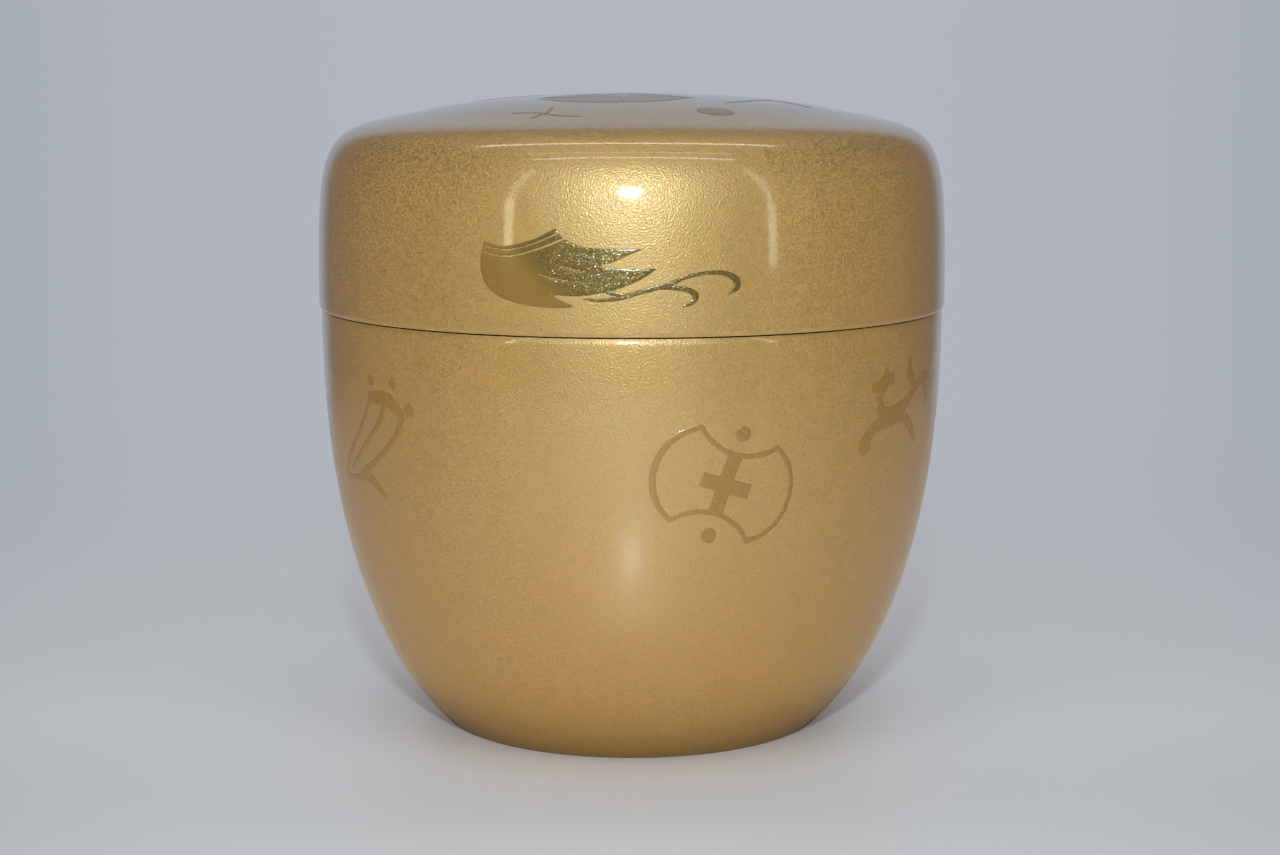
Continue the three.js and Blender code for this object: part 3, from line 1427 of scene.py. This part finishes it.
@dataclass
class CaddyBody:
    """The body: a turned cup with its foot, its lining, the collar and the lacquer under the foot."""

    walls: Walls
    seam_height: float
    rim_radius: float
    collar_outer: float
    collar_top: float
    collar_foot: float
    well_radius: float
    well_floor: float
    recess_radius: float
    recess_depth: float
    ornaments: list[Ornament]
    foot_radius: float = 20.0 * MM
    foot_edge_steps: int = 4
    collar_wall: float = 1.4 * MM
    lip_steps: int = 24
    well_floor_radius: float = 14.0 * MM
    arris_reach: float = 0.70 * MM
    body_bend_shares: tuple[Point, Point] = ((0.75, 0.205), (1.0, 0.606))
    well_bend_shares: tuple[Point, Point] = ((0.86, 0.0), (1.0, 0.34))

    @classmethod
    def from_frame(cls, walls: Walls, ornaments: list[Ornament]) -> "CaddyBody":
        """Reads the body's sizes from the frame's nodes.

        Args:
            walls: the shared sizes.
            ornaments: what is laid on its side.

        Returns:
            The body.
        """
        shell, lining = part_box("body_shell"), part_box("body_lining")
        collar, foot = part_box("rim_collar"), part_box("foot_lacquer")
        return cls(
            walls=walls,
            seam_height=shell[1].z,
            rim_radius=shell[1].x,
            collar_outer=collar[1].x,
            collar_top=collar[1].z,
            collar_foot=collar[0].z,
            well_radius=lining[1].x,
            well_floor=lining[0].z,
            recess_radius=foot[1].x,
            recess_depth=foot[1].z,
            ornaments=ornaments,
        )

    def side(self) -> np.ndarray:
        """The body's outside, from the foot to the joint.

        Returns:
            Rows of radius and height.
        """
        radius = self.rim_radius - self.walls.ground_inset
        joint = self.seam_height - self.walls.shadow_gap
        foot = (self.foot_radius - self.walls.ground_inset, 0.0)
        below = (radius, joint - self.arris_reach)
        wall = bend(foot, below, self.body_bend_shares, self.walls.bend_steps)
        edge = eased((self.recess_radius, 0.0), foot, tuple(wall[self.foot_edge_steps]), self.walls.edge_ease)
        wall = wall[wall[:, 1] > edge[-1, 1]]
        return joined(edge, wall, arris(radius, joint, self.arris_reach, self.walls.arris_depth))

    def well(self, coat: float) -> np.ndarray:
        """The wall of the well, from the axis up to the collar's foot.

        Args:
            coat: how far it is drawn inwards.

        Returns:
            Rows of radius and height.
        """
        floor = (self.well_floor_radius, self.well_floor + coat)
        brim = (self.well_radius - coat, self.collar_foot)
        wall = bend(floor, brim, self.well_bend_shares, self.walls.short_bend_steps)
        return joined(as_points((0.0, floor[1])), wall)

    def build(self, gold: bpy.types.Material, black: bpy.types.Material, smith: Goldsmith) -> None:
        """Builds and dresses the body's pieces.

        Args:
            gold: the ground's gold.
            black: the black lacquer.
            smith: who lays the ornaments.
        """
        dress(self._shell(), gold, Slot.GOLD, Body.CADDY, "body_shell")
        lining = turned("body_lining_black", joined(self.well(0.0), self.well(self.walls.lacquer_coat)[::-1]))
        dress(lining, black, Slot.BLACK, Body.CADDY, "body_lining")
        dress(self._collar(), black, Slot.BLACK_WOOD, Body.CADDY, "rim_collar")
        dress(self._foot_lacquer(), black, Slot.BLACK, Body.CADDY, "foot_lacquer")
        smith.lay(self.ornaments, TurnedSide(self.side()), Body.CADDY)

    def _shell(self) -> bpy.types.Object:
        """The turned cup.

        Returns:
            The piece.
        """
        side = self.side()
        ease = self.walls.edge_ease
        ledge = self.seam_height
        gap_foot = (self.rim_radius - self.walls.shadow_gap_width, ledge - self.walls.shadow_gap)
        recess_edge = eased((self.recess_radius, self.recess_depth), (self.recess_radius, 0.0),
                            (self.foot_radius, 0.0), ease)
        return turned("body_shell_gold", joined(
            as_points((0.0, self.recess_depth), (self.recess_radius, self.recess_depth)),
            recess_edge,
            side,
            as_points(gap_foot, (gap_foot[0] - ease, ledge)),
            as_points((self.collar_outer, ledge), (self.collar_outer, self.collar_foot)),
            self.well(0.0)[::-1],
        ))

    def _collar(self) -> bpy.types.Object:
        """The collar, with its fully rounded lip.

        Returns:
            The piece.
        """
        inner, outer = self.collar_outer - self.collar_wall, self.collar_outer
        lip = self.collar_wall / 2
        angle = np.linspace(0, math.pi, self.lip_steps + 1)
        radius, height = inner + lip + lip * np.cos(angle), self.collar_top - lip + lip * np.sin(angle)
        return turned("rim_collar_black", joined(
            as_points((inner, self.collar_foot), (outer, self.collar_foot)),
            np.stack([radius, height], 1),
        ))

    def _foot_lacquer(self) -> bpy.types.Object:
        """The black coat in the recess, with a small swell towards the recess's wall.

        Returns:
            The piece.
        """
        face = self.recess_depth - self.walls.lacquer_coat
        rim = self.recess_radius
        corner = eased((0.0, face), (rim, face), (rim, 0.0), self.walls.edge_ease)
        return turned("foot_lacquer_black", joined(
            as_points((0.0, face)), corner, as_points((rim, self.recess_depth), (0.0, self.recess_depth)),
        ))


@dataclass
class CaddyLid:
    """The lid: a turned cap with its side, shoulder and crown, and the lining in its hollow."""

    walls: Walls
    seam_height: float
    top: float
    radius: float
    bore_radius: float
    lining_top: float
    skirt_top: float
    ornaments: list[Ornament]
    crown_radius: float = 22.0 * MM
    crown_rise: float = 1.75 * MM
    crown_power: float = 2.6
    lid_wall: float = 1.3 * MM
    arris_reach: float = 0.50 * MM
    bend_shares: tuple[Point, Point] = ((0.0, 0.952), (0.067, 0.895))
    crown_steps: int = 40

    @classmethod
    def from_frame(cls, walls: Walls, ornaments: list[Ornament]) -> "CaddyLid":
        """Reads the lid's sizes from the frame's nodes.

        Args:
            walls: the shared sizes.
            ornaments: what is laid on its side and crown.

        Returns:
            The lid.
        """
        shell, lining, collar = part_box("lid_shell"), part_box("lid_lining"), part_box("rim_collar")
        return cls(
            walls=walls,
            seam_height=shell[0].z,
            top=shell[1].z,
            radius=shell[1].x,
            bore_radius=lining[1].x,
            lining_top=lining[1].z,
            skirt_top=collar[1].z + walls.collar_headroom,
            ornaments=ornaments,
        )

    def side(self) -> np.ndarray:
        """The lid's outside, from the joint over the shoulder to the middle of the crown.

        Returns:
            Rows of radius and height.
        """
        inset = self.walls.ground_inset
        radius, top = self.radius - inset, self.top - inset
        joint = self.seam_height + self.walls.shadow_gap
        foot = (radius, joint + self.arris_reach)
        shoulder = (self.crown_radius, top - self.crown_rise)
        return joined(
            arris(radius, joint, -self.arris_reach, self.walls.arris_depth)[::-1],
            bend(foot, shoulder, self.bend_shares, self.walls.bend_steps),
            crown(self.crown_radius, top, self.crown_rise, self.crown_power, self.crown_steps),
        )

    def hollow(self, coat: float) -> np.ndarray:
        """The wall of the hollow, from the rim up to the axis.

        Args:
            coat: how far it is drawn inwards.

        Returns:
            Rows of radius and height.
        """
        top = self.lining_top - coat
        skirt = (self.bore_radius - coat, self.skirt_top)
        edge = (self.crown_radius - self.lid_wall - coat, top - self.crown_rise)
        return joined(
            as_points((skirt[0], self.seam_height)),
            bend(skirt, edge, self.bend_shares, self.walls.short_bend_steps),
            crown(edge[0], top, self.crown_rise, self.crown_power, self.crown_steps),
        )

    def build(self, gold: bpy.types.Material, black: bpy.types.Material, smith: Goldsmith) -> None:
        """Builds and dresses the lid's pieces.

        Args:
            gold: the ground's gold.
            black: the black lacquer.
            smith: who lays the ornaments.
        """
        dress(self._shell(), gold, Slot.GOLD, Body.LID, "lid_shell")
        coat = self.walls.lacquer_coat
        lining = turned("lid_lining_black", joined(self.hollow(coat)[::-1], self.hollow(0.0)))
        dress(lining, black, Slot.BLACK, Body.LID, "lid_lining")
        smith.lay(self.ornaments, TurnedSide(self.side()), Body.LID)

    def _shell(self) -> bpy.types.Object:
        """The turned cap.

        Returns:
            The piece.
        """
        gap_foot = (self.radius - self.walls.shadow_gap_width, self.seam_height + self.walls.shadow_gap)
        return turned("lid_shell_gold", joined(
            self.hollow(0.0)[::-1],
            as_points((gap_foot[0] - self.walls.edge_ease, self.seam_height), gap_foot),
            self.side(),
        ))


# The studio


@dataclass(frozen=True)
class Lamp:
    """A flat lamp of a given brightness, aimed at a point."""

    name: str
    centre: Position
    width: float
    height: float
    radiance: float
    colour: Colour = (1.0, 1.0, 1.0)
    aim: Position = (0.0, 0.0, 0.04)
    in_gloss: bool = True
    roll: float = 0.0

    def place(self) -> None:
        """Adds the lamp to the scene."""
        data = bpy.data.lights.new(self.name, "AREA")
        data.shape = "RECTANGLE"
        data.size, data.size_y = self.width, self.height
        data.energy = self.radiance * math.pi * self.width * self.height
        data.color = self.colour
        lamp = bpy.data.objects.new(self.name, data)
        lamp.location = self.centre
        way = Vector(self.aim) - Vector(self.centre)
        turn = way.to_track_quat("-Z", "Y") @ Quaternion((0, 0, 1), math.radians(self.roll))
        lamp.rotation_euler = turn.to_euler()
        lamp.visible_camera = False
        lamp.visible_glossy = self.in_gloss
        bpy.context.scene.collection.objects.link(lamp)


@dataclass(frozen=True)
class Surroundings:
    """The dim room round the caddy, by direction, with the pale backdrop behind.

    The caddy sees side, front, above, corner and behind, and the camera sees the rest. A direction is told by
    how far it points aside, away from the camera, and up, from -1 to 1, and a span says over which of those
    numbers one colour goes over into the next.
    """

    side: Colour = (0.322, 0.254, 0.176)
    front: Colour = (0.022, 0.030, 0.021)
    above: Colour = (0.124, 0.095, 0.132)
    corner: Colour = (0.163, 0.139, 0.160)
    behind: Colour = (0.375, 0.455, 0.558)
    seen: Colour = (0.445, 0.468, 0.518)
    seen_low: Colour = (0.480, 0.474, 0.497)
    # The backdrop painted darker towards the sides, as painted vignette shade
    seen_aside_painted_darker: Colour = (0.356, 0.392, 0.434)
    corner_span: Span = (0.15, 0.67)
    front_span: Span = (0.64, 0.70)
    above_span: Span = (0.08, 0.735)
    behind_span: Span = (0.79, 0.92)
    low_span: Span = (0.13, 0.28)
    aside_span: Span = (0.005, 0.10)

    def build(self) -> None:
        """Gives the scene its world, whose backdrop alone is what the camera sees."""
        world = bpy.data.worlds.new("surroundings")
        world.use_nodes = True
        bpy.context.scene.world = world
        graph = Graph(world.node_tree)
        aside, away, up = graph.split(graph.place("Generated"))
        nearer, down = -1.0 * away, -1.0 * up
        light = graph.mix_colour(graph.rise(away, *self.corner_span), self.side, self.corner)
        light = graph.mix_colour(graph.rise(nearer, *self.front_span), light, self.front)
        light = graph.mix_colour(graph.rise(up, *self.above_span), light, self.above)
        light = graph.mix_colour(graph.rise(away, *self.behind_span), light, self.behind)
        seen = graph.mix_colour(graph.rise(down, *self.low_span), self.seen, self.seen_low)
        # Painted shade: the backdrop goes darker towards the sides of the view
        seen = graph.mix_colour(graph.rise(aside * aside, *self.aside_span), seen, self.seen_aside_painted_darker)
        lit, plain = (graph.value("ShaderNodeBackground", None, {"Color": colour, "Strength": 1.0})
                      for colour in (light, seen))
        graph.finish(graph.mix_shader(graph.camera_ray(), lit, plain), "World")


@dataclass(frozen=True)
class Studio:
    """The floor, the lamps, the pale surroundings and the camera."""

    floor_radius: float = 1.6
    floor_corners: int = 64
    camera_distance: float = 264.0 * MM
    camera_height: float = 70.24 * MM
    camera_aside: float = 0.85 * MM
    camera_pitch: float = 8.51
    lens: float = 70.24
    sensor: float = 36.0
    strip_distance: float = 0.30
    tube_height: float = 0.61
    aim_height: float = 0.04

    def build(self) -> None:
        """Adds everything that isn't the caddy."""
        self._floor()
        Surroundings().build()
        for lamp in self._lamps():
            lamp.place()
        self._camera()
        bpy.context.scene.view_settings.view_transform = "Standard"

    def _floor(self) -> None:
        """The floor, a wide disc."""
        floor = flat_oval("studio_floor", self.floor_radius, self.floor_radius, self.floor_corners)
        floor.data.materials.append(StudioFloor().material())
        FloorGlint().build()

    def _lamps(self) -> list[Lamp]:
        """The lamps: a small one over the camera, tubes overhead and strips at the sides.

        Returns:
            The lamps.
        """
        warm, green = (1.0, 0.92, 0.60), (0.94, 1.0, 0.76)

        def tube(name: str, x: float, slope: float, width: float, height: float, radiance: float) -> Lamp:
            """A tube overhead, whose place from front to back is given by how it slopes from the caddy."""
            centre = (x, slope * self.tube_height, self.tube_height)
            return Lamp(name, centre, width, height, radiance, aim=(x, 0, self.aim_height))

        def strip(name: str, x: float, z: float, width: float, height: float, radiance: float, colour: Colour,
                  roll: float = 0.0) -> Lamp:
            """A strip before the caddy, off to one side, that faces straight back."""
            centre = (x, -self.strip_distance, z)
            return Lamp(name, centre, width, height, radiance, colour, aim=(x, 0, z), roll=roll)

        return [
            Lamp("camera_lamp", (-0.0018, -0.242, 0.122), 0.0165, 0.0085, 706.0, (0.87, 1.06, 1.22),
                 aim=(0, 0, 0.055)),
            tube("tube_back", -0.018, 0.164, 0.625, 0.030, 7.5),
            tube("tube_middle", -0.006, -0.30, 0.60, 0.020, 3.0),
            tube("tube_front", 0.0065, -0.55, 0.715, 0.026, 7.3),
            strip("strip_left_low", -0.271, 0.0825, 0.029, 0.105, 6.8, warm),
            strip("strip_left_high", -0.250, 0.22, 0.029, 0.175, 3.3, warm, -13.9),
            strip("strip_right_low", 0.346, 0.0775, 0.036, 0.095, 5.1, green),
            strip("strip_right_high", 0.320, 0.225, 0.036, 0.206, 3.1, green, 14.3),
            Lamp("floor_panel", (0.0, 0.0, 0.9), 1.2, 1.2, 0.214, (0.75, 1.20, 0.86), in_gloss=False),
        ]

    def _camera(self) -> None:
        """The camera at the photograph's viewing angle."""
        data = bpy.data.cameras.new("camera")
        data.sensor_fit = "HORIZONTAL"
        data.sensor_width = self.sensor
        data.lens = self.lens
        camera = bpy.data.objects.new("camera", data)
        camera.location = (self.camera_aside, -self.camera_distance, self.camera_height)
        camera.rotation_euler = (math.radians(90 - self.camera_pitch), 0, 0)
        bpy.context.scene.collection.objects.link(camera)
        bpy.context.scene.camera = camera


# The caddy's golds and ornaments

HIGH_RELIEF = Relief(lift=0.060 * MM, edge=0.42 * MM, cell=0.085 * MM)
LOW_RELIEF = Relief(lift=0.030 * MM, edge=0.10 * MM, cell=0.13 * MM)

RELIEF_GOLDS = {
    Tone.POLISHED: GoldLacquer(
        "relief_polished", light=(0.58, 0.42, 0.12), deep=(0.285, 0.150, 0.027), flake=0.06 * MM,
        flake_lift=0.024 * MM, rarity=3.0, cloud_share=0.08, dull_metal=0.0, bright_metal=1.0, roughness=0.22,
        powder_index=1.3, clear_roughness=0.16, clear_weight=0.3, burnish=BurnishAndPaintedLight()),
    Tone.DEEP: GoldLacquer("relief_deep", light=(0.465, 0.250, 0.031), deep=(0.385, 0.200, 0.023)),
    Tone.SOFT: GoldLacquer("relief_soft", light=(0.535, 0.290, 0.036), deep=(0.445, 0.233, 0.027)),
    Tone.WARM: GoldLacquer("relief_warm", light=(0.50, 0.24, 0.040), deep=(0.42, 0.195, 0.030)),
    Tone.DARK: GoldLacquer("relief_dark", light=(0.42, 0.220, 0.030), deep=(0.34, 0.175, 0.022),
                           clear_weight=0.65),
}


def ornaments_on_lid() -> list[Ornament]:
    """The treasures on the lid: the photographed ones on its front and crown, others round the back."""
    front = Place(azimuth=-9.71, height=50.37 * MM)

    def on_crown(figure: Callable[[], Shape], x: float, y: float, turn: float = 0.0,
                 size: float = 1.0) -> Ornament:
        """An ornament on the crown, placed in millimetres."""
        place = Place(turn=turn, size=size, crown_x=x * MM, crown_y=y * MM)
        return Ornament(f"crown_{figure.__name__}", figure, place, Tone.DARK, LOW_RELIEF)

    def on_side(figure: Callable[[], Shape], azimuth: float, height: float, turn: float,
                size: float) -> Ornament:
        """An ornament on the side, placed in degrees and millimetres."""
        place = Place(azimuth, height * MM, turn, size)
        return Ornament(f"lid_{figure.__name__}", figure, place, Tone.DEEP, LOW_RELIEF)

    return [
        Ornament("lid_cloak", cloak, front, Tone.POLISHED, HIGH_RELIEF),
        Ornament("lid_cloak_cords", cloak_cords, front, Tone.POLISHED, HIGH_RELIEF),
        on_side(counterweight, 108.0, 50.6, 20.0, 0.62),
        on_side(jewel, 154.0, 51.0, -12.0, 0.62),
        on_side(clove, -160.0, 51.0, 14.0, 0.62),
        on_side(mallet, -112.0, 52.0, -38.0, 0.58),
        on_crown(hat, -1.0, -9.2),
        on_crown(twig, -8.1, -19.5, size=0.72),
        on_crown(dot, 8.2, -18.6),
        on_crown(ribbon, 14.0, -7.6),
        on_crown(storehouse_key, 4.5, 9.5, 24.0, 0.9),
        on_crown(jewel, -12.5, 5.5, 30.0, 0.8),
        on_crown(coral, -1.5, 17.8, 170.0, 0.8),
    ]


def ornaments_on_body() -> list[Ornament]:
    """The treasures on the body: the three photographed ones on its front, others round the back."""

    def on_side(figure: Callable[[], Shape], azimuth: float, height: float, turn: float = 0.0,
                size: float = 1.0, tone: Tone = Tone.DEEP) -> Ornament:
        """An ornament on the side, placed in degrees and millimetres."""
        place = Place(azimuth, height * MM, turn, size)
        return Ornament(f"body_{figure.__name__}", figure, place, tone, LOW_RELIEF)

    return [
        on_side(counterweight, 16.18, 29.88, -17.4),
        on_side(clove, -48.73, 33.91, tone=Tone.SOFT),
        on_side(coral, 51.45, 35.12, tone=Tone.SOFT),
        on_side(seven_treasures, 101.0, 23.5, 15.0, 0.95),
        on_side(mallet, 137.0, 34.5, 24.0, 0.85, Tone.WARM),
        on_side(scroll, 178.0, 24.5, -20.0, 0.9),
        on_side(jewel, -142.0, 32.5, 8.0, 0.85),
        on_side(storehouse_key, -101.0, 23.0, -28.0, 0.85, Tone.WARM),
    ]


def main() -> None:
    """Builds the caddy and the studio round the frame."""
    logging.basicConfig(level=logging.INFO, format="%(name)s: %(message)s")
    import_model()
    walls = Walls()
    body = CaddyBody.from_frame(walls, ornaments_on_body())
    lid = CaddyLid.from_frame(walls, ornaments_on_lid())
    edge = body.rim_radius - walls.ground_inset - walls.arris_depth
    gold = GoldLacquer(joint=JointFaces(body.seam_height, edge - walls.black_margin)).material()
    black = BlackLacquer().material()
    smith = Goldsmith({tone: finish.material() for tone, finish in RELIEF_GOLDS.items()})
    body.build(gold, black, smith)
    lid.build(gold, black, smith)
    Studio().build()


if __name__ == "__main__":
    main()
